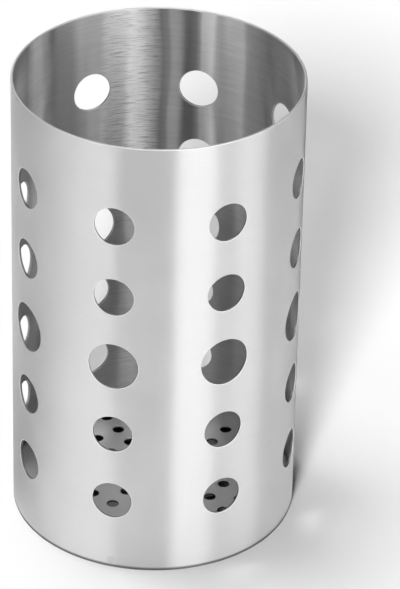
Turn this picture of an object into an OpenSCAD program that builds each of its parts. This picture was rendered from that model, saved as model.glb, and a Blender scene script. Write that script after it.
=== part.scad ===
// Round cutlery holder of brushed stainless steel sheet.
// A perforated sheet is rolled into a sleeve and closed by one butt weld at the back.
// A pressed floor pan with drain holes is spot welded inside the foot of the sleeve.
// Millimetres, +Z up, the origin in the middle of the foot, the front towards -Y.
// Angles are seen from above and counted from the front towards +X.

/* [Sleeve] */
// Height from the table to the rim
height = 135; // [125:1:170]
// Outer diameter
outer_d = 80; // [72:1:110]
// Thickness of the wall sheet
wall_t = 0.7; // [0.6:0.1:1.2]
// Radius of the deburred edges at the rim and the foot
edge_r = 0.25; // [0.05:0.05:0.25]

/* [Wall holes] */
// Number of hole columns round the sleeve
columns = 8; // [6:1:9]
// Number of hole rows
rows = 5; // [3:1:5]
// Row with the large holes, counted from the foot
large_row = 3; // [1:1:3]
// Diameter of the small holes
small_hole_d = 11.2; // [6:0.1:14]
// Diameter of the large holes
large_hole_d = 14; // [8:0.1:18]
// Height of the lowest hole centres
first_row_z = 22.5; // [18:0.5:25]
// Distance from one row to the next
row_pitch = 22; // [19:0.5:24]

/* [Seam] */
// Angle of the seam weld
seam_angle = 180; // [90:5:270]
// Width of the weld bead, which is ground flush
seam_w = 1.2; // [0.8:0.1:3]

/* [Floor pan] */
// Height of the top of the floor above the table
floor_z = 7.5; // [6:0.5:12]
// Thickness of the pan sheet
pan_t = 0.6; // [0.5:0.1:1]
// Outer radius of the bend between the floor and the flange
pan_bend_r = 1.5; // [1.2:0.1:2.5]
// Gap between the flange and the inside of the sleeve
pan_gap = 0.05; // [0.02:0.01:0.1]
// Height of the flange's lower edge above the table
pan_foot = 0.5; // [0.3:0.1:1]

/* [Drain holes] */
// Number of rings of drain holes round the one in the centre
drain_rings = 4; // [1:1:4]
// Distance from one ring to the next
drain_pitch = 7.2; // [5:0.1:8]
// Diameter of a drain hole
drain_d = 3.2; // [2:0.1:4]

/* [Spot welds] */
// Number of spot welds round the foot
welds = 3; // [2:1:6]
// Diameter of a weld nugget
weld_d = 2.4; // [1.6:0.1:3]
// Height of the weld centres above the table
weld_z = 2.4; // [2.2:0.1:3]
// Depth of the dimple that the electrode leaves outside
weld_dimple = 0.08; // [0.02:0.01:0.15]

/* [Hidden] */
$fn = 96;
// Facets of the large round surfaces
ring_fn = 240;

outer_r = outer_d / 2;
inner_r = outer_r - wall_t;
pan_r = inner_r - pan_gap;
flange_r = pan_r - pan_t;
// Angle that the weld bead takes out of the round
seam_arc = 360 * seam_w / (PI * outer_d);
// Columns stand half a pitch clear of the seam, so that none is cut by it
column_step = 360 / columns;
function column_angle(c) = seam_angle + (c + 0.5) * column_step;
function row_z(r) = first_row_z + r * row_pitch;
function hole_d(r) = r == large_row - 1 ? large_hole_d : small_hole_d;
// The first weld and the first spoke of drain holes line up with hole columns
front_column = floor(columns / 2);
weld_angle = column_angle(front_column - 1);
drain_angle = column_angle(front_column);
// Overshoot of a cutting tool past the surface it cuts
cut = 2;

// A radial cylinder at an angle and a height, reaching from radius r0 to radius r1
module radial(angle, z, d, r0, r1) {
    rotate([0, 0, angle])
        translate([0, -r0, z])
            rotate([90, 0, 0])
                cylinder(h = r1 - r0, d = d);
}

module weld_pins(r0, r1) {
    for (w = [0 : welds - 1])
        radial(weld_angle + w * 360 / welds, weld_z, weld_d, r0, r1);
}

// Section through the wall sheet, with its four corners rounded
module wall_section() {
    translate([inner_r + edge_r, 0])
        square([wall_t - 2 * edge_r, height]);
    translate([inner_r, edge_r])
        square([wall_t, height - 2 * edge_r]);
    for (x = [inner_r + edge_r, outer_r - edge_r])
        for (z = [edge_r, height - edge_r])
            translate([x, z])
                circle(r = edge_r, $fn = 32);
}

// Section through the pan: floor, bend and flange
module pan_section() {
    bend_x = pan_r - pan_bend_r;
    bend_z = floor_z - pan_bend_r;
    translate([0, floor_z - pan_t])
        square([bend_x, pan_t]);
    translate([bend_x, bend_z])
        intersection() {
            difference() {
                circle(r = pan_bend_r);
                circle(r = pan_bend_r - pan_t);
            }
            square(pan_bend_r);
        }
    translate([flange_r, pan_foot])
        square([pan_t, bend_z - pan_foot]);
}

module wall_holes() {
    for (c = [0 : columns - 1])
        for (r = [0 : rows - 1])
            radial(column_angle(c), row_z(r), hole_d(r), inner_r - cut, outer_r + cut);
}

module drain_holes() {
    for (ring = [0 : drain_rings])
        for (i = [0 : max(6 * ring, 1) - 1])
            rotate([0, 0, drain_angle + i * 60 / max(ring, 1)])
                translate([0, -ring * drain_pitch, floor_z - pan_t - cut])
                    cylinder(h = pan_t + 2 * cut, d = drain_d, $fn = 48);
}

module wall_sleeve() {
    color("silver")
        difference() {
            rotate([0, 0, seam_angle - 90 + seam_arc / 2])
                rotate_extrude(angle = 360 - seam_arc, $fn = ring_fn)
                    wall_section();
            wall_holes();
            weld_pins(inner_r - cut, outer_r + cut);
        }
}

module floor_pan() {
    color("lightgray")
        difference() {
            rotate_extrude($fn = ring_fn)
                pan_section();
            drain_holes();
            weld_pins(flange_r - cut, pan_r + cut);
        }
}

// The bead fills the butt joint and is ground flush inside and outside
module seam_weld() {
    color("gainsboro")
        rotate([0, 0, seam_angle - 90 - seam_arc / 2])
            rotate_extrude(angle = seam_arc, $fn = ring_fn)
                wall_section();
}

// Nuggets through the sleeve and the flange, dimpled below the outer surface
module spot_welds() {
    color("gray")
        intersection() {
            weld_pins(flange_r - cut, outer_r + cut);
            difference() {
                cylinder(h = floor_z, r = outer_r - weld_dimple, $fn = ring_fn);
                translate([0, 0, -cut])
                    cylinder(h = floor_z + 2 * cut, r = flange_r, $fn = ring_fn);
            }
        }
}

wall_sleeve();
floor_pan();
seam_weld();
spot_welds();
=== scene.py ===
"""Looks of a round cutlery holder of brushed steel sheet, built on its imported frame."""

import math

import bpy
from mathutils import Matrix, Vector
from mathutils.geometry import delaunay_2d_cdt


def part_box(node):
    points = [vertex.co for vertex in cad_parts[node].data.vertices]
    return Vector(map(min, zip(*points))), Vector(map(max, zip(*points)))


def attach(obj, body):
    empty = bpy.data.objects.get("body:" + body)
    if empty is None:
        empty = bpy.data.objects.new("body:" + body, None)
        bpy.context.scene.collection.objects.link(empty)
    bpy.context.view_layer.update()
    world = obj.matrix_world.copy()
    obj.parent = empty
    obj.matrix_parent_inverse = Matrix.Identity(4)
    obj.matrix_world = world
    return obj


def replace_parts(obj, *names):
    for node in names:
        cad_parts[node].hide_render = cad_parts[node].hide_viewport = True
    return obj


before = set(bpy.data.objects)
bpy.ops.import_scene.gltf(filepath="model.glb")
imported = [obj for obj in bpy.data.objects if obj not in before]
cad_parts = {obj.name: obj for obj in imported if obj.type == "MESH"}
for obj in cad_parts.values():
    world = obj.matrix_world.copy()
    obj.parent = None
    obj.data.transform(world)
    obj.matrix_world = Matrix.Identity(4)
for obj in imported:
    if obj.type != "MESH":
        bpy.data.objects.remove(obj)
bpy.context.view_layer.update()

MM = 0.001
TURN = 2 * math.pi
QUARTER = math.pi / 2

# Sizes that the frame gives
SLEEVE_LOW, SLEEVE_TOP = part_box("wall_sleeve")
_, PAN_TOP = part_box("floor_pan")
HEIGHT = SLEEVE_TOP.z
OUTER_R = -SLEEVE_LOW.y
FLOOR_Z = PAN_TOP.z

# Sheet sizes, as in the part's source
WALL_T = 0.7 * MM
INNER_R = OUTER_R - WALL_T
PAN_T = 0.6 * MM
PAN_R = PAN_TOP.x
FLANGE_R = PAN_R - PAN_T
PAN_BEND_R = 1.5 * MM
PAN_FOOT = 0.5 * MM

# Holes in the sleeve. The large row is counted from 0 at the foot.
COLUMNS = 8
ROWS = 5
LARGE_ROW = 2
FIRST_ROW_Z = 22.5 * MM
ROW_PITCH = 22 * MM
SMALL_R = 5.6 * MM
LARGE_R = 7.0 * MM

# Seam and spot welds. SEAM_HALF is half of the angle that the bead takes up.
SEAM_ANGLE = math.pi
SEAM_W = 1.2 * MM
SEAM_HALF = SEAM_W / (2 * OUTER_R)
WELD_ANGLE = math.radians(-22.5)
WELDS = 3
WELD_R = 1.2 * MM
WELD_Z = 2.4 * MM

# Drain holes
DRAIN_RINGS = 4
DRAIN_PITCH = 7.2 * MM
DRAIN_R = 1.6 * MM
DRAIN_ANGLE = math.radians(22.5)

# Rounded edges that punching and brushing leave
RIM_ROUND = 0.25 * MM
HOLE_ROUND = 0.22 * MM
DRAIN_ROUND = 0.12 * MM
WELD_ROUND = 0.03 * MM
FLANGE_ROUND = 0.1 * MM
ROUND_STEPS = 5
# Rows of points, from the face on, between which a punched edge is brushed bright
BRIGHT_STEPS = 4

# Steps of the meshes round and up the sleeve, round its holes and spot welds, and across
# the bead, then round the pan, along its bend and round its drain holes
WALL_STEPS = 240
WALL_ROWS = 42
HOLE_STEPS = 72
WELD_STEPS = 32
BEAD_STEPS = 4
PAN_STEPS = 180
BEND_STEPS = 8
DRAIN_STEPS = 36
# How far the wall's own points keep from the edge of a hole
HOLE_MARGIN = 1.1 * MM
# For the triangulation: to fill only what lies within its edges, and the distance under
# which it takes two points for one
WITHIN_EDGES = 1
SAME_POINT = 1e-9


def polar(angle, out, up):
    """A place or direction at an angle counted from the front (-Y) towards +X."""
    return Vector((math.sin(angle) * out, -math.cos(angle) * out, up))


class Sheet:
    """Gathers the points, true normals and faces of one piece of sheet metal."""

    def __init__(self):
        self.points, self.normals, self.faces, self.zones = [], [], [], []

    def point(self, place, normal):
        self.points.append(place)
        self.normals.append(normal.normalized())
        return len(self.points) - 1

    def row(self, azimuths, radius, z, out, up):
        """Points at that radius and height, with normals that lean out and up."""
        return [self.point(polar(a, radius, z), polar(a, out, up)) for a in azimuths]

    def rows(self, azimuths, places):
        """Rows at places that each give a radius, a height and how the normals lean."""
        return [self.row(azimuths, *place) for place in places]

    def face(self, ids, zone):
        """A face turned the way that its points' normals look."""
        a, b, c = (self.points[i] for i in ids[:3])
        outward = sum((self.normals[i] for i in ids), Vector((0, 0, 0)))
        if (b - a).cross(c - a).dot(outward) < 0:
            ids = ids[::-1]
        self.faces.append(ids)
        self.zones.append(zone)

    def strip(self, row, next_row, zone, closed=False):
        """Quads between two rows of equally many points."""
        for i in range(0 if closed else 1, len(row)):
            self.face((row[i - 1], row[i], next_row[i], next_row[i - 1]), zone)

    def strips(self, rows, zone, closed=False):
        """Quads between each row and the next."""
        for row, next_row in zip(rows, rows[1:]):
            self.strip(row, next_row, zone, closed)

    def fill(self, flat, border, holes, inner, zone):
        """Triangles over a flat plan. flat gives each point's place in the plan, and
        border, holes and inner are lists of points."""
        ids = border + [i for hole in holes for i in hole] + inner
        index = {p: k for k, p in enumerate(ids)}
        hole_of = {p: n for n, hole in enumerate(holes) for p in hole}
        edges = [(index[a], index[b]) for a, b in zip(border, border[1:] + border[:1])]
        for hole in holes:
            edges += [(index[a], index[b]) for a, b in zip(hole, hole[1:] + hole[:1])]
        plan = [Vector(flat[p]) for p in ids]
        result = delaunay_2d_cdt(plan, edges, [], WITHIN_EDGES, SAME_POINT)
        _, _, faces, originals, _, _ = result
        # A face whose corners all lie on one hole's loop would close the hole
        for face in faces:
            corners = [ids[originals[k][0]] for k in face]
            rims = {hole_of.get(p) for p in corners}
            if rims == {None} or len(rims) > 1:
                self.face(tuple(corners), zone)

    def piece(self, name, materials):
        mesh = bpy.data.meshes.new(name)
        mesh.from_pydata([p[:] for p in self.points], [], self.faces)
        mesh.polygons.foreach_set("material_index", self.zones)
        mesh.polygons.foreach_set("use_smooth", [True] * len(self.faces))
        mesh.normals_split_custom_set_from_vertices([n[:] for n in self.normals])
        for material in materials:
            mesh.materials.append(material)
        obj = bpy.data.objects.new(name, mesh)
        bpy.context.scene.collection.objects.link(obj)
        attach(obj, "root")
        return obj


def spaced(start, end, steps):
    """Values from start to end, with both of them, in that many even steps."""
    return [start + (end - start) * i / steps for i in range(steps + 1)]


def round_angles():
    """Angles of a rounded edge's points, from the face that it starts on to the next."""
    return spaced(0, QUARTER, ROUND_STEPS)


def rounded_end(wall_r, z, side, end, edge):
    """Places for the rows of a wall's rounded end, from the height z on. side is 1 for an
    outer face and -1 for an inner one, end is 1 for an upper end and -1 for a lower one."""
    for bend in round_angles():
        out, up = math.cos(bend), math.sin(bend)
        yield wall_r - side * edge * (1 - out), z + end * edge * up, side * out, end * up


# Zones of a sheet, which are also the numbers of its materials
OUTSIDE, INSIDE, CUT, BORE = range(4)


def at_hole(angle, across, out, up):
    """A place or direction seen from a hole at that angle: across, out and up."""
    return polar(angle, out, up) + polar(angle + QUARTER, across, 0)


def punched_hole(sheet, plans, angle, z, radius, edge, steps):
    """A radial hole with rounded edges. Adds its points to the plans of both faces, and
    returns its loop on each face."""
    bores, loops = [], []
    turns = spaced(0, TURN, steps)[:-1]
    for side, wall_r, plan in ((1, OUTER_R, plans[0]), (-1, INNER_R, plans[1])):
        rings = []
        for bend in round_angles():
            ring = []
            for turn in turns:
                reach = radius + edge * (1 - math.sin(bend))
                across, up = reach * math.cos(turn), reach * math.sin(turn)
                out = math.sqrt(wall_r**2 - across**2)
                place = at_hole(angle, across, out - side * edge * (1 - math.cos(bend)), z + up)
                face = at_hole(angle, across / wall_r, out / wall_r, 0) * side
                bore = -at_hole(angle, math.cos(turn), 0, math.sin(turn))
                p = sheet.point(place, face * math.cos(bend) + bore * math.sin(bend))
                plan[p] = (OUTER_R * (angle + math.asin(across / wall_r)), z + up)
                ring.append(p)
            rings.append(ring)
        sheet.strips(rings[:BRIGHT_STEPS], CUT, closed=True)
        sheet.strips(rings[BRIGHT_STEPS - 1 :], BORE, closed=True)
        bores.append(rings[-1])
        loops.append(rings[0])
    sheet.strip(bores[0], bores[1], BORE, closed=True)
    return loops


def sleeve_holes():
    """Angle, height, radius, rounding and steps of every hole in the sleeve."""
    step = TURN / COLUMNS
    for column in range(COLUMNS):
        angle = SEAM_ANGLE + (column + 0.5) * step
        for row in range(ROWS):
            radius = LARGE_R if row == LARGE_ROW else SMALL_R
            yield angle, FIRST_ROW_Z + row * ROW_PITCH, radius, HOLE_ROUND, HOLE_STEPS
    for angle in weld_angles():
        yield angle, WELD_Z, WELD_R, WELD_ROUND, WELD_STEPS


def weld_angles():
    """Angles of the spot welds, all within the turn that starts at the seam."""
    angles = [WELD_ANGLE + TURN * w / WELDS for w in range(WELDS)]
    return [SEAM_ANGLE + (a - SEAM_ANGLE) % TURN for a in angles]


def near_hole(holes, angle, z):
    """Whether a place on the wall is too close to a hole for a point of its own."""
    return any(
        math.hypot(OUTER_R * (angle - hole_angle), z - hole_z) < radius + HOLE_MARGIN
        for hole_angle, hole_z, radius, _, _ in holes
    )


def wall_face(sheet, plan, azimuths, holes, loops, side, wall_r, zone):
    """One face of the sleeve with its rounded ends. Returns the last rows at the foot and
    at the rim, and the points up the face's first and last edge."""
    ends = []
    for end, z in ((-1, RIM_ROUND), (1, HEIGHT - RIM_ROUND)):
        rows = sheet.rows(azimuths, rounded_end(wall_r, z, side, end, RIM_ROUND))
        plan.update({p: (OUTER_R * a, z) for p, a in zip(rows[0], azimuths)})
        sheet.strips(rows, CUT)
        ends.append(rows)
    foot, rim = ends
    first, last, inner = [], [], []
    for z in spaced(RIM_ROUND, HEIGHT - RIM_ROUND, WALL_ROWS)[1:-1]:
        for a in azimuths:
            if near_hole(holes, a, z):
                continue
            p = sheet.point(polar(a, wall_r, z), polar(a, side, 0))
            plan[p] = (OUTER_R * a, z)
            if a == azimuths[0]:
                first.append(p)
            elif a == azimuths[-1]:
                last.append(p)
            else:
                inner.append(p)
    border = foot[0] + last + rim[0][::-1] + first[::-1]
    sheet.fill(plan, border, loops, inner, zone)
    edges = [
        [row[end] for row in foot[::-1]] + column + [row[end] for row in rim]
        for end, column in ((0, first), (-1, last))
    ]
    return foot[-1], rim[-1], edges


def wall_sleeve(materials):
    """The rolled sheet with its holes. Zones: outside, inside, cut edges, bores."""
    sheet = Sheet()
    azimuths = spaced(SEAM_ANGLE + SEAM_HALF, SEAM_ANGLE + TURN - SEAM_HALF, WALL_STEPS)
    plans = ({}, {})
    holes = list(sleeve_holes())
    loops = list(zip(*(punched_hole(sheet, plans, *hole) for hole in holes)))
    outer_foot, outer_rim, outer_edges = wall_face(
        sheet, plans[0], azimuths, holes, loops[0], 1, OUTER_R, OUTSIDE
    )
    inner_foot, inner_rim, inner_edges = wall_face(
        sheet, plans[1], azimuths, holes, loops[1], -1, INNER_R, INSIDE
    )
    sheet.strip(outer_foot, inner_foot, CUT)
    sheet.strip(outer_rim, inner_rim, CUT)
    for end, sign in ((0, -1), (-1, 1)):
        towards = polar(azimuths[end] + QUARTER, sign, 0)
        outer = [sheet.point(sheet.points[p], towards) for p in outer_edges[end]]
        inner = [sheet.point(sheet.points[p], towards) for p in inner_edges[end]]
        sheet.strip(outer, inner, CUT)
    piece = sheet.piece("wall_sleeve_sheet", materials)
    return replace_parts(piece, "wall_sleeve")


def seam_weld(materials):
    """The bead of the butt weld, ground flush: the wall's section across the joint."""
    sheet = Sheet()
    azimuths = spaced(SEAM_ANGLE - SEAM_HALF, SEAM_ANGLE + SEAM_HALF, BEAD_STEPS)
    rows, zones = [], []
    corners = (
        (OUTER_R, 1, RIM_ROUND, -1, OUTSIDE),
        (OUTER_R, 1, HEIGHT - RIM_ROUND, 1, CUT),
        (INNER_R, -1, HEIGHT - RIM_ROUND, 1, INSIDE),
        (INNER_R, -1, RIM_ROUND, -1, CUT),
    )
    for wall_r, side, z, end, next_zone in corners:
        places = list(rounded_end(wall_r, z, side, end, RIM_ROUND))
        if side != end:
            places.reverse()
        rows += sheet.rows(azimuths, places)
        zones += [CUT] * ROUND_STEPS + [next_zone]
    for k, zone in enumerate(zones):
        sheet.strip(rows[k], rows[(k + 1) % len(rows)], zone)
    for end, sign in ((0, -1), (-1, 1)):
        towards = polar(azimuths[end] + QUARTER, sign, 0)
        sheet.face(tuple(sheet.point(sheet.points[row[end]], towards) for row in rows), CUT)
    piece = sheet.piece("seam_weld_bead", materials)
    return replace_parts(piece, "seam_weld")


def drain_centres():
    """The hole in the middle and those on the rings, with 6 more on each ring."""
    for ring in range(DRAIN_RINGS + 1):
        count = max(6 * ring, 1)
        for i in range(count):
            yield polar(DRAIN_ANGLE + TURN * i / count, ring * DRAIN_PITCH, 0)


def drain_hole(sheet, plan, centre):
    """A hole through the floor with rounded edges. Adds its points to the plan, and returns
    its loops on the top and on the underside."""
    bores, loops = [], []
    turns = spaced(0, TURN, DRAIN_STEPS)[:-1]
    for z, up in ((FLOOR_Z, 1), (FLOOR_Z - PAN_T, -1)):
        rings = []
        for bend in round_angles():
            reach = DRAIN_R + DRAIN_ROUND * (1 - math.sin(bend))
            drop = DRAIN_ROUND * (1 - math.cos(bend))
            ring = []
            for turn in turns:
                place = centre + polar(turn, reach, z - up * drop)
                p = sheet.point(place, polar(turn, -math.sin(bend), up * math.cos(bend)))
                plan[p] = place.xy
                ring.append(p)
            rings.append(ring)
        sheet.strips(rings, BORE, closed=True)
        bores.append(rings[-1])
        loops.append(rings[0])
    sheet.strip(bores[0], bores[1], BORE, closed=True)
    return loops


def pan_bend(radius, side):
    """Places for the rows of the pan's bend, from the floor to the flange, on the sheet's
    outer side (1) or its inner side (-1)."""
    for bend in spaced(0, QUARTER, BEND_STEPS):
        out, up = math.sin(bend), math.cos(bend)
        reach = PAN_R - PAN_BEND_R + radius * out
        z = FLOOR_Z - PAN_BEND_R + radius * up
        yield reach, z, side * out, side * up


def floor_pan(materials):
    """The pressed floor with its flange. Zones: top, underside, cut edges, bores."""
    sheet = Sheet()
    azimuths = spaced(0, TURN, PAN_STEPS)[:-1]
    foot_z = PAN_FOOT + FLANGE_ROUND
    outer = sheet.rows(azimuths, pan_bend(PAN_BEND_R, 1))
    inner = sheet.rows(azimuths, pan_bend(PAN_BEND_R - PAN_T, -1))
    foot_outer = sheet.rows(azimuths, rounded_end(PAN_R, foot_z, 1, -1, FLANGE_ROUND))
    foot_inner = sheet.rows(azimuths, rounded_end(FLANGE_R, foot_z, -1, -1, FLANGE_ROUND))
    sheet.strips(outer + foot_outer[:1], OUTSIDE, closed=True)
    sheet.strips(foot_outer, CUT, closed=True)
    sheet.strip(foot_outer[-1], foot_inner[-1], CUT, closed=True)
    sheet.strips(foot_inner, CUT, closed=True)
    sheet.strips(inner + foot_inner[:1], INSIDE, closed=True)
    plan = {p: sheet.points[p].xy for p in outer[0] + inner[0]}
    loops = list(zip(*(drain_hole(sheet, plan, centre) for centre in drain_centres())))
    sheet.fill(plan, outer[0], loops[0], [], OUTSIDE)
    sheet.fill(plan, inner[0], loops[1], [], INSIDE)
    piece = sheet.piece("floor_pan_sheet", materials)
    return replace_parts(piece, "floor_pan")


# The range that most of a noise lies in
NOISE_LOW = 0.3
NOISE_HIGH = 0.7


class Graph:
    """A material's or world's node graph, built by short calls."""

    def __init__(self, owner):
        owner.use_nodes = True
        self.tree = owner.node_tree
        self.tree.nodes.clear()

    def node(self, kind, inputs=None, **settings):
        node = self.tree.nodes.new(kind)
        for key, value in settings.items():
            setattr(node, key, value)
        for key, value in (inputs or {}).items():
            if isinstance(value, bpy.types.NodeSocket):
                self.tree.links.new(value, node.inputs[key])
            else:
                node.inputs[key].default_value = value
        return node

    def math(self, operation, *values):
        inputs = dict(enumerate(values))
        return self.node("ShaderNodeMath", inputs, operation=operation).outputs[0]

    def remap(self, value, low, high, to_low, to_high, smooth=False):
        kind = "SMOOTHSTEP" if smooth else "LINEAR"
        inputs = {"Value": value, 1: low, 2: high, 3: to_low, 4: to_high}
        return self.node("ShaderNodeMapRange", inputs, interpolation_type=kind).outputs[0]

    def band(self, value, start, full, fade, end):
        """1 from full to fade, 0 before start and after end, and smooth between them."""
        rise = self.remap(value, start, full, 0.0, 1.0, smooth=True)
        fall = self.remap(value, fade, end, 1.0, 0.0, smooth=True)
        return self.math("MULTIPLY", rise, fall)

    def spread(self, noise, low, high):
        """A noise, spread from low to high."""
        return self.remap(noise, NOISE_LOW, NOISE_HIGH, low, high)

    def azimuth(self):
        """Angle round the axis in degrees and the height in millimetres."""
        place = self.node("ShaderNodeTexCoord").outputs["Object"]
        x, y, z = self.node("ShaderNodeSeparateXYZ", {0: place}).outputs
        turn = self.math("ARCTAN2", x, self.math("MULTIPLY", y, -1.0))
        return self.math("MULTIPLY", turn, 180 / math.pi), self.math("MULTIPLY", z, 1 / MM)

    def radius(self):
        """Distance from the axis in millimetres."""
        place = self.node("ShaderNodeTexCoord").outputs["Object"]
        x, y, _ = self.node("ShaderNodeSeparateXYZ", {0: place}).outputs
        squares = self.math("ADD", self.math("MULTIPLY", x, x), self.math("MULTIPLY", y, y))
        return self.math("MULTIPLY", self.math("SQRT", squares), 1 / MM)

    def noise(self, place, scale, detail, roughness=0.5):
        inputs = {"Vector": place, "Scale": scale, "Detail": detail, "Roughness": roughness}
        return self.node("ShaderNodeTexNoise", inputs).outputs["Fac"]

    def mix(self, factor, a, b):
        """a where the factor is 0 and b where it is 1."""
        inputs = {"Factor": factor, "A": a, "B": b}
        return self.node("ShaderNodeMix", inputs, data_type="FLOAT").outputs["Result"]

    def blend(self, a, b, share):
        """A sum with that share of b and the rest of a."""
        rest = self.math("MULTIPLY", a, 1 - share)
        return self.math("ADD", rest, self.math("MULTIPLY", b, share))

    def direct(self):
        """1 for light that no matt surface, such as the table, has scattered."""
        depth = self.node("ShaderNodeLightPath").outputs["Diffuse Depth"]
        return self.math("LESS_THAN", depth, 0.5)

    def grey_tone(self, tone):
        return self.node("ShaderNodeCombineColor", {0: tone, 1: tone, 2: tone}).outputs[0]

    def bump(self, height, distance):
        inputs = {"Strength": 1.0, "Distance": distance, "Height": height}
        return self.node("ShaderNodeBump", inputs).outputs[0]

    def surface(self, shader):
        self.node("ShaderNodeOutputMaterial", {"Surface": shader.outputs[0]})


WHITE = (1.0, 1.0, 1.0, 1.0)
# Share of its light that the steel throws on the table, where the photo has none
THROWN = 0.1


def damped(graph, tone):
    """The tone, lowered where the steel would throw light on the table."""
    return graph.mix(graph.direct(), graph.math("MULTIPLY", tone, THROWN), tone)


# Painted contact shadow at the foot: its tone, and the heights in mm over which it fades
FOOT_SHADOW_TONE = 0.25
FOOT_SHADOW_FADE = (0.5, 1.3)


def with_foot_shadow(graph, tone, height):
    """The tone, with a painted contact shadow at the foot's edge."""
    foot = graph.remap(height, *FOOT_SHADOW_FADE, FOOT_SHADOW_TONE, 1.0, smooth=True)
    return graph.math("MULTIPLY", tone, foot)


MM_PER_DEGREE = OUTER_R / MM * math.pi / 180
# Painted reflection on the outer face: its tone at the foot and at the rim
PAINTED_HEIGHT_SHADING = (1.07, 0.94)
# Roughness of brushed steel, and the share by which it varies
BRUSHED_ROUGHNESS = 0.36
ROUGHNESS_SPREAD = 0.06
# Brushing round the axis blurs a reflection upwards, a quarter turn from the tangent
ANISOTROPY = 1.0
BLUR_TURN = 0.25
# Noises on brushed steel: length round the sleeve and width up it in mm, detail, and place
# on the noise's third axis, which makes each another noise. The streaks' own sizes multiply
# those of the first two, which are blended with that share of the second.
FINE_STREAKS = (1, 1, 3.0, 0.0)
SOFT_STREAKS = (3, 4, 1.0, 7.0)
SOFT_SHARE = 0.4
SHEET_WAVES = (6.0, 90.0, 0.0, 3.0)
CLOUDS = (16.0, 16.0, 2.0, 11.0)
COARSE_SCRATCHES = (8.0, 0.30, 4.0, 19.0)
THIN_SCRATCHES = (4.0, 0.15, 4.0, 37.0)
BAND_BENDS = (12.0, 45.0, 1.0, 29.0)
NOISE_ROUGHNESS = 0.6
# Depth in mm of the sheet's waves on the inner and on the outer face
WAVE_DEPTHS = (0.20, 0.02)
# Upright bands of painted reflection inside, lighter or darker. Each starts, is full,
# fades and ends at these angles, and has this tone.
REFLECTION_BANDS = (
    (80, 96, 133, 140, 0.77),
    (136, 139, 144, 148, 1.28),
    (149, 152, 156, 158, 1.44),
    (156.5, 160, 163, 167, 0.58),
    (165, 168, 169, 171, 1.04),
    (169.5, 171.5, 173.5, 175.5, 0.74),
    (173.5, 178.5, 193, 200, 1.60),
    (207, 214, 221, 226, 0.64),
    (227, 230, 234, 237, 1.15),
    (237, 241, 268, 280, 0.80),
)
# By how many degrees the painted bands waver, the heights in mm between which they fade
# out downwards, and the tone of the painted shade below them
BAND_WAVER = 3.0
BAND_HEIGHTS = (66, 84)
LOWER_PAINTED_SHADE = 0.90
# The ground zone beside the seam: where it starts, is full, fades and ends in degrees, the
# share of it that is left below the bands, the range of noise that its tone follows, its
# lowest and highest tone, and its depth in mm
GROUND = (170, 179, 194, 200)
GROUND_LOWER = 0.25
GROUND_NOISE = (0.41, 0.575)
GROUND_TONES = (0.45, 1.275)
GROUND_DEPTH = 0.012


def brushed_steel(name, colour, grain, length, width, bump, ground_and_painted_bands=False):
    """Steel brushed round the sleeve. grain is the share by which the streaks change the
    colour, length and width are a streak's in mm, and bump is its depth in mm. The ground
    flag adds upright bands of painted reflection, and the coarse scratches that grinding the
    weld left beside it."""
    material = bpy.data.materials.new(name)
    graph = Graph(material)
    angle, height = graph.azimuth()
    if ground_and_painted_bands:
        angle = graph.math("MODULO", graph.math("ADD", angle, 360.0), 360.0)
    arc = graph.math("MULTIPLY", angle, MM_PER_DEGREE)

    def streaks(long, thin, detail, third):
        across = graph.math("DIVIDE", arc, long)
        up = graph.math("DIVIDE", height, thin)
        place = graph.node("ShaderNodeCombineXYZ", {0: across, 1: up, 2: third}).outputs[0]
        return graph.noise(place, 1.0, detail, NOISE_ROUGHNESS)

    def sized(long, thin, detail, third):
        return streaks(long * length, thin * width, detail, third)

    fine = sized(*FINE_STREAKS)
    both = graph.blend(fine, sized(*SOFT_STREAKS), SOFT_SHARE)
    shade = graph.spread(both, colour * (1 - grain), colour * (1 + grain))
    relief = graph.math("MULTIPLY", fine, bump)
    if ground_and_painted_bands:
        scratches = graph.blend(streaks(*COARSE_SCRATCHES), streaks(*THIN_SCRATCHES), 0.5)
        depth = graph.remap(height, *BAND_HEIGHTS, GROUND_LOWER, 1.0, smooth=True)
        zone = graph.math("MULTIPLY", graph.band(angle, *GROUND), depth)
        tint = graph.remap(scratches, *GROUND_NOISE, *GROUND_TONES)
        shade = graph.math("MULTIPLY", shade, graph.mix(zone, 1.0, tint))
        # Painted reflections: upright lighter and darker bands inside
        shade = graph.math("MULTIPLY", shade, painted_reflection_bands(graph, angle, height, streaks))
        deep = graph.math("MULTIPLY", graph.math("MULTIPLY", scratches, zone), GROUND_DEPTH)
        relief = graph.math("ADD", relief, deep)

    def by_face(inner, outer):
        """One value on the inner face and another on the outer face."""
        return graph.remap(graph.radius(), INNER_R / MM, OUTER_R / MM, inner, outer)

    # Painted reflection: the outer face lighter at the foot and darker towards the rim
    height_shading = graph.remap(height, 0.0, HEIGHT / MM, *PAINTED_HEIGHT_SHADING)
    shade = graph.math("MULTIPLY", shade, by_face(1.0, height_shading))
    waves = graph.math("MULTIPLY", streaks(*SHEET_WAVES), by_face(*WAVE_DEPTHS))
    relief = graph.math("ADD", relief, waves)
    # Painted contact shadow at the foot
    shade = damped(graph, with_foot_shadow(graph, shade, height))
    low, high = 1 - ROUGHNESS_SPREAD, 1 + ROUGHNESS_SPREAD
    clouds = streaks(*CLOUDS)
    rough = graph.spread(clouds, BRUSHED_ROUGHNESS * low, BRUSHED_ROUGHNESS * high)
    tangent = graph.node("ShaderNodeTangent", direction_type="RADIAL", axis="Z").outputs[0]
    settings = {
        "Base Color": graph.grey_tone(shade),
        "Metallic": 1.0,
        "Roughness": rough,
        "Anisotropic": ANISOTROPY,
        "Anisotropic Rotation": BLUR_TURN,
        "Normal": graph.bump(relief, MM),
        "Tangent": tangent,
    }
    graph.surface(graph.node("ShaderNodeBsdfPrincipled", settings))
    return material


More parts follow.
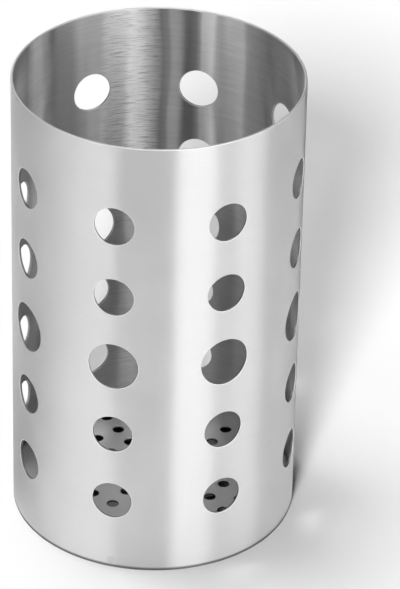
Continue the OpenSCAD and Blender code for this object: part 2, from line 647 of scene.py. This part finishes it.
def painted_reflection_bands(graph, angle, height, streaks):
    """Tone of the painted reflection bands inside, which waver a little and fade out downwards.
    """
    waver = graph.spread(streaks(*BAND_BENDS), -BAND_WAVER / 2, BAND_WAVER / 2)
    turn = graph.math("ADD", angle, waver)
    tone = 1.0
    for start, full, fade, end, level in REFLECTION_BANDS:
        tone = graph.mix(graph.band(turn, start, full, fade, end), tone, level)
    upper = graph.remap(height, *BAND_HEIGHTS, 0.0, 1.0, smooth=True)
    return graph.mix(upper, LOWER_PAINTED_SHADE, tone)


# Noises on plain steel, in cycles per metre, their detail, and the share by which the
# clouds change the roughness
GRAIN_SCALE = 2500.0
CLOUD_SCALE = 120.0
PLAIN_DETAIL = 3.0
PLAIN_SPREAD = 0.15


def plain_steel(name, colour, roughness, speckle, bump):
    """Steel without a brushing direction, such as a cut edge or a rolled sheet. speckle is
    the share by which the colour changes, and bump the depth of the grain in mm."""
    material = bpy.data.materials.new(name)
    graph = Graph(material)
    place = graph.node("ShaderNodeTexCoord").outputs["Object"]
    grains = graph.noise(place, GRAIN_SCALE, PLAIN_DETAIL)
    clouds = graph.noise(place, CLOUD_SCALE, PLAIN_DETAIL)
    mixed = graph.blend(grains, clouds, 0.5)
    shade = graph.spread(mixed, colour * (1 - speckle), colour * (1 + speckle))
    # Painted contact shadow at the foot
    shade = damped(graph, with_foot_shadow(graph, shade, graph.azimuth()[1]))
    low, high = 1 - PLAIN_SPREAD, 1 + PLAIN_SPREAD
    settings = {
        "Base Color": graph.grey_tone(shade),
        "Metallic": 1.0,
        "Roughness": graph.spread(clouds, roughness * low, roughness * high),
        "Normal": graph.bump(grains, bump * MM),
    }
    graph.surface(graph.node("ShaderNodeBsdfPrincipled", settings))
    return material


# The camera stands in front, a little to the left, and looks down on the holder. Its
# distance is in metres, and its focal length in pixels of a picture of that height.
VIEW_AZIMUTH = math.radians(-6)
VIEW_ELEVATION = math.radians(31.91)
VIEW_DISTANCE = 1.08
FOCAL_PIXELS = 3881.5
PICTURE_HEIGHT = 589
SENSOR = 36.0
CLIP = (0.01, 50)
AIM_YAW = math.radians(-0.652)
AIM_PITCH = math.radians(-0.069)
AIM_ROLL = math.radians(-0.875)


def camera():
    """Looks at the middle of the sleeve, and is then turned a little to frame it."""
    data = bpy.data.cameras.new("camera")
    data.sensor_width = SENSOR
    data.lens = FOCAL_PIXELS * SENSOR / PICTURE_HEIGHT
    data.clip_start, data.clip_end = CLIP
    obj = bpy.data.objects.new("camera", data)
    bpy.context.scene.collection.objects.link(obj)
    back = polar(VIEW_AZIMUTH, math.cos(VIEW_ELEVATION), math.sin(VIEW_ELEVATION))
    look = (-back).to_track_quat("-Z", "Y").to_matrix().to_4x4()
    aim = Matrix.Rotation(AIM_YAW, 4, "Y") @ Matrix.Rotation(AIM_PITCH, 4, "X")
    place = Vector((0, 0, HEIGHT / 2)) + back * VIEW_DISTANCE
    obj.matrix_world = Matrix.Translation(place) @ look @ aim @ Matrix.Rotation(-AIM_ROLL, 4, "Z")
    bpy.context.scene.camera = obj


# Light cards that stand in a ring round the object, whose radius and height are in metres.
# Each starts, is full, fades and ends at these angles from the front towards +X, and has
# this strength, where 1 is white. A later card covers an earlier one, and CARD_BASE is the
# strength between them. Between the heights of CARD_FADE, in mm, the ring turns dark.
RING_STEPS = 96
CARD_RADIUS = 0.7
CARD_TOP = 2.4
CARD_FADE = (700, 900)
CARD_BASE = 0.03
CARDS = (
    (-181, -180, -160, -150, 0.95),
    (-180, -174, -167, -155, 1.7),
    (170, 174, 181, 182, 1.0),
    (-118, -48, -38, -31, 1.5),
    (-35, -31, 4, 9, 0.5),
    (70, 75, 98, 120, 0.4),
    (37, 41, 66, 84, 1.3),
    (50, 59, 70, 82, 1.8),
    (5, 10, 35, 41, 2.6),
)
# A dark board behind the object on the right, which draws a line down its right edge: its
# ends, each across and behind, and its height, in metres
BOARD = ((0.0415, 0.024), (0.058, 0.020), 0.15)
BOARD_TONE = 0.02
# Soft cards that lie on the table beside and behind the object, a grey one on the left and
# a light one on the right. Each starts, is full, fades and ends at these angles, and has
# this tone. Then their height, half of the side of the square that they lie in, and the
# distances from the axis in mm over which they start and fade out.
FLOOR_CARDS = ((-174, -152, -110, -68, 0.60), (28, 60, 140, 168, 0.82))
FLOOR_CARD_Z = MM
FLOOR_CARD_HALF = 0.2
FLOOR_REACH = (40.2, 41, 80, 150)
# The ceiling light: its height and radius in metres, and its strength
CEILING = (2.4, 0.75, 3.0)


def glow(name, strength):
    """A material that gives off light of that strength."""
    material = bpy.data.materials.new(name)
    graph = Graph(material)
    if callable(strength):
        strength = strength(graph)
    graph.surface(graph.node("ShaderNodeEmission", {"Color": WHITE, "Strength": strength}))
    return material


def set_piece(name, points, faces, material):
    """Something of the set, which isn't part of the object."""
    mesh = bpy.data.meshes.new(name)
    mesh.from_pydata([tuple(p) for p in points], [], faces)
    mesh.materials.append(material)
    obj = bpy.data.objects.new(name, mesh)
    bpy.context.scene.collection.objects.link(obj)
    return obj


def square(half, z):
    """Corners of a level square round the axis."""
    return [(x * half, y * half, z) for x, y in ((-1, -1), (1, -1), (1, 1), (-1, 1))]


def card_strength(graph):
    """Strength of the ring of cards, which gives the table no light by way of the steel, so
    that the shadow there stays."""
    angle, height = graph.azimuth()
    strength = CARD_BASE
    for start, full, fade, end, level in CARDS:
        strength = graph.mix(graph.band(angle, start, full, fade, end), strength, level)
    lit = graph.remap(height, *CARD_FADE, 1.0, 0.0, smooth=True)
    return graph.math("MULTIPLY", strength, graph.math("MULTIPLY", lit, graph.direct()))


def floor_cards():
    """The cards on the table, clear outside their soft edges."""
    material = bpy.data.materials.new("floor_cards")
    graph = Graph(material)
    angle = graph.azimuth()[0]
    cover, tone = 0.0, 0.0
    for start, full, fade, end, level in FLOOR_CARDS:
        card = graph.band(angle, start, full, fade, end)
        cover = graph.math("ADD", cover, card)
        here = graph.math("GREATER_THAN", card, 0.0)
        tone = graph.math("ADD", tone, graph.math("MULTIPLY", here, level))
    cover = graph.math("MULTIPLY", cover, graph.band(graph.radius(), *FLOOR_REACH))
    clear = graph.node("ShaderNodeBsdfTransparent").outputs[0]
    lit = graph.node("ShaderNodeEmission", {"Color": WHITE, "Strength": tone}).outputs[0]
    graph.surface(graph.node("ShaderNodeMixShader", {0: cover, 1: clear, 2: lit}))
    return material


def light_cards():
    """A ring of soft cards, cards on the table, a dark board and a ceiling light, seen only
    in the steel's reflections."""
    steps = RING_STEPS
    angles = spaced(-math.pi, math.pi, steps)[:-1]
    ring = [polar(a, CARD_RADIUS, z) for z in (0.0, CARD_TOP) for a in angles]
    quads = [(i, (i + 1) % steps, steps + (i + 1) % steps, steps + i) for i in range(steps)]
    height, radius, strength = CEILING
    disc = [polar(a, radius, height) for a in angles]
    (x0, y0), (x1, y1), top = BOARD
    board = [(x0, y0, 0), (x1, y1, 0), (x1, y1, top), (x0, y0, top)]
    floor = square(FLOOR_CARD_HALF, FLOOR_CARD_Z)
    pieces = (
        set_piece("floor_cards", floor, [(0, 1, 2, 3)], floor_cards()),
        set_piece("light_cards", ring, quads, glow("light_cards", card_strength)),
        set_piece("dark_board", board, [(0, 1, 2, 3)], glow("dark_board", BOARD_TONE)),
        set_piece("ceiling_light", disc, [range(steps)], glow("ceiling_light", strength)),
    )
    for obj in pieces:
        obj.visible_camera = False
        obj.visible_diffuse = False
        obj.visible_shadow = False


# Half of the table's side in metres, its tone, and that of its round patch under the pan,
# painted darker as shade, so that the drain holes look dark
TABLE_HALF = 4
TABLE_TONE = 0.97
UNDER_PAN_SHADE_TONE = 0.50


def table_top():
    """The matt table that the holder stands on, with painted shade in a round patch under the
    pan.
    """
    material = bpy.data.materials.new("table_top")
    graph = Graph(material)
    tone = graph.remap(graph.radius(), INNER_R / MM, OUTER_R / MM, UNDER_PAN_SHADE_TONE, TABLE_TONE)
    graph.surface(graph.node("ShaderNodeBsdfDiffuse", {"Color": graph.grey_tone(tone)}))
    set_piece("table_top", square(TABLE_HALF, 0), [(0, 1, 2, 3)], material)


# Lamps: angle from the front, elevation, breadth in degrees, and share of the table's light
LAMPS = (
    (-18, 31, 11, 0.49),
    (-70, 56, 20, 0.05),
    (-115, 74, 20, 0.27),
    (-150, 73, 22, 0.18),
)
# What the surroundings add to the table's light
AMBIENT = 0.05


def lamps():
    """Soft far lamps that light the table and cast the shadow to the right."""
    for angle, elevation, breadth, share in LAMPS:
        elevation = math.radians(elevation)
        data = bpy.data.lights.new("soft_lamp", "SUN")
        data.angle = math.radians(breadth)
        data.energy = share * math.pi / math.sin(elevation)
        obj = bpy.data.objects.new("soft_lamp", data)
        bpy.context.scene.collection.objects.link(obj)
        back = polar(math.radians(angle), math.cos(elevation), math.sin(elevation))
        obj.matrix_world = (-back).to_track_quat("-Z", "Y").to_matrix().to_4x4()
        obj.visible_glossy = False


def surroundings():
    """White to the camera and in reflections, and a lower level of light on the table."""
    world = bpy.data.worlds.new("surroundings")
    bpy.context.scene.world = world
    graph = Graph(world)
    ray = graph.node("ShaderNodeLightPath").outputs
    reflected = graph.math("MULTIPLY", ray["Is Glossy Ray"], graph.direct())
    seen = graph.math("MAXIMUM", ray["Is Camera Ray"], ray["Is Transmission Ray"])
    seen = graph.math("MAXIMUM", seen, reflected)
    strength = graph.mix(seen, AMBIENT, 1.0)
    light = graph.node("ShaderNodeBackground", {"Color": WHITE, "Strength": strength})
    graph.node("ShaderNodeOutputWorld", {"Surface": light.outputs[0]})


bpy.context.scene.view_settings.view_transform = "Standard"
camera()
surroundings()
light_cards()
table_top()
lamps()

# Name, colour, grain, and a streak's length, width and depth in mm
sleeve_outside = brushed_steel("sleeve_outside", 0.74, 0.02, 14.0, 0.12, 0.001)
sleeve_inside = brushed_steel("sleeve_inside", 0.70, 0.10, 7.0, 0.28, 0.003, ground_and_painted_bands=True)
seam_face = brushed_steel("seam_face", 0.69, 0.10, 7.0, 0.28, 0.003, ground_and_painted_bands=True)
# Name, colour, roughness, speckle, and the grain's depth in mm
cut_edge = plain_steel("cut_edge", 0.86, 0.50, 0.04, 0.001)
bore = plain_steel("bore", 0.36, 0.42, 0.12, 0.004)
pan_face = plain_steel("pan_face", 0.76, 0.42, 0.05, 0.002)
weld_face = plain_steel("weld_face", 0.68, 0.36, 0.08, 0.004)

wall_sleeve([sleeve_outside, sleeve_inside, cut_edge, bore])
floor_pan([pan_face, pan_face, cut_edge, bore])
seam_weld([seam_face, seam_face, cut_edge])
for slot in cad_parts["spot_welds"].material_slots:
    slot.material = weld_face
